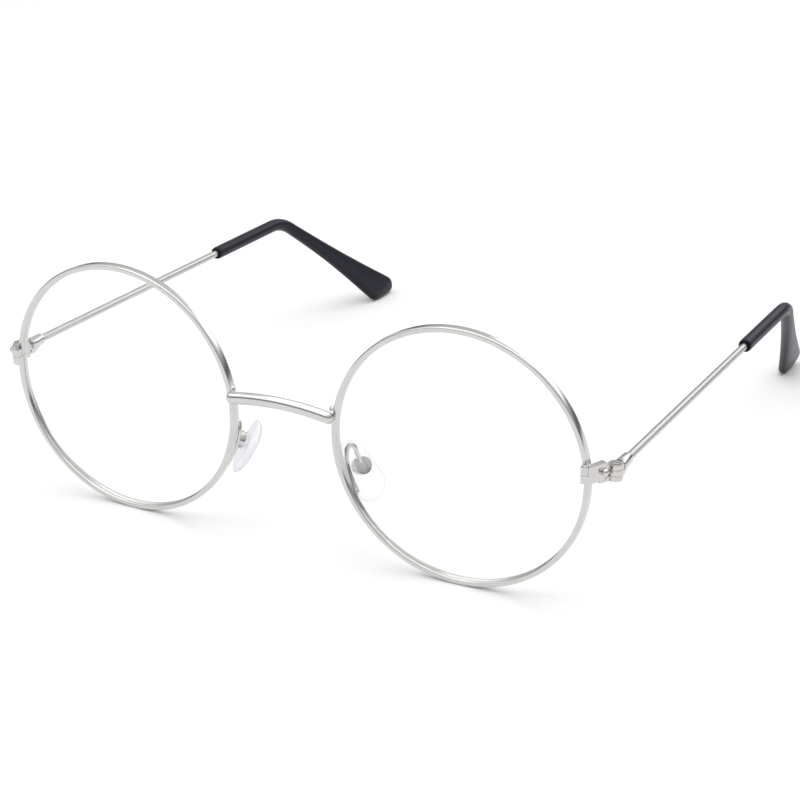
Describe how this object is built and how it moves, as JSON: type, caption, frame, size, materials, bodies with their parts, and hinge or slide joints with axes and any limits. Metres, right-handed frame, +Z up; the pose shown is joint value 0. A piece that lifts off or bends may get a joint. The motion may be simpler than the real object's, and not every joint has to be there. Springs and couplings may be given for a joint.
{
  "type": "eyeglasses",
  "caption": "Round wire-rim eyeglasses with clear lenses, screw-on nose pads, screw hinges and folding wire temples with dark plastic tips.",
  "frame": {"origin": "on the table, midway between the two temples and midway between the front of the bridge and the back of the temple tips, with the glasses standing open", "axes": "+Z up, +Y from the lenses back along the temples, +X towards the wearer's left"},
  "size_m": [0.1314, 0.1464, 0.0511],
  "materials": {
    "silver_metal": "polished silver plating",
    "screw_steel": "turned steel",
    "lens": "clear, polished",
    "tip_plastic": "dark navy, semi-gloss",
    "pad_pvc": "clear soft plastic"
  },
  "bodies": {
    "front": {"bridge": "silver_metal", "left_eyewire": "silver_metal", "right_eyewire": "silver_metal", "left_lens": "lens", "right_lens": "lens", "left_rim_lock": "silver_metal", "right_rim_lock": "silver_metal", "left_lock_screw": "screw_steel", "right_lock_screw": "screw_steel", "left_lug": "silver_metal", "right_lug": "silver_metal", "left_lug_rivet": "silver_metal", "right_lug_rivet": "silver_metal", "left_hinge_front": "silver_metal", "right_hinge_front": "silver_metal", "left_hinge_screw": "screw_steel", "right_hinge_screw": "screw_steel", "left_pad_arm": "silver_metal", "right_pad_arm": "silver_metal", "left_pad_box": "silver_metal", "right_pad_box": "silver_metal", "left_pad_screw": "screw_steel", "right_pad_screw": "screw_steel"},
    "left_temple": {"left_hinge_rear": "silver_metal", "left_temple_wire": "silver_metal", "left_tip": "tip_plastic"},
    "right_temple": {"right_hinge_rear": "silver_metal", "right_temple_wire": "silver_metal", "right_tip": "tip_plastic"},
    "left_nose_pad": {"left_pad": "pad_pvc"},
    "right_nose_pad": {"right_pad": "pad_pvc"}
  },
  "joints": [
    {"name": "left_temple_fold", "type": "hinge", "parent": "front", "child": "left_temple", "pos_m": [0.06427, -0.0647, 0.02697], "axis": [0, 0, 1], "range_deg": [0, 86]},
    {"name": "right_temple_fold", "type": "hinge", "parent": "front", "child": "right_temple", "pos_m": [-0.06427, -0.0647, 0.02697], "axis": [0, 0, -1], "range_deg": [0, 75]},
    {"name": "left_pad_rock", "type": "hinge", "parent": "front", "child": "left_nose_pad", "pos_m": [0.0133, -0.06494, 0.01755], "axis": [0.4193, 0.8328, 0.3614], "range_deg": [-8, 8]},
    {"name": "right_pad_rock", "type": "hinge", "parent": "front", "child": "right_nose_pad", "pos_m": [-0.0133, -0.06494, 0.01755], "axis": [-0.4193, 0.8328, 0.3614], "range_deg": [-8, 8]}
  ]
}
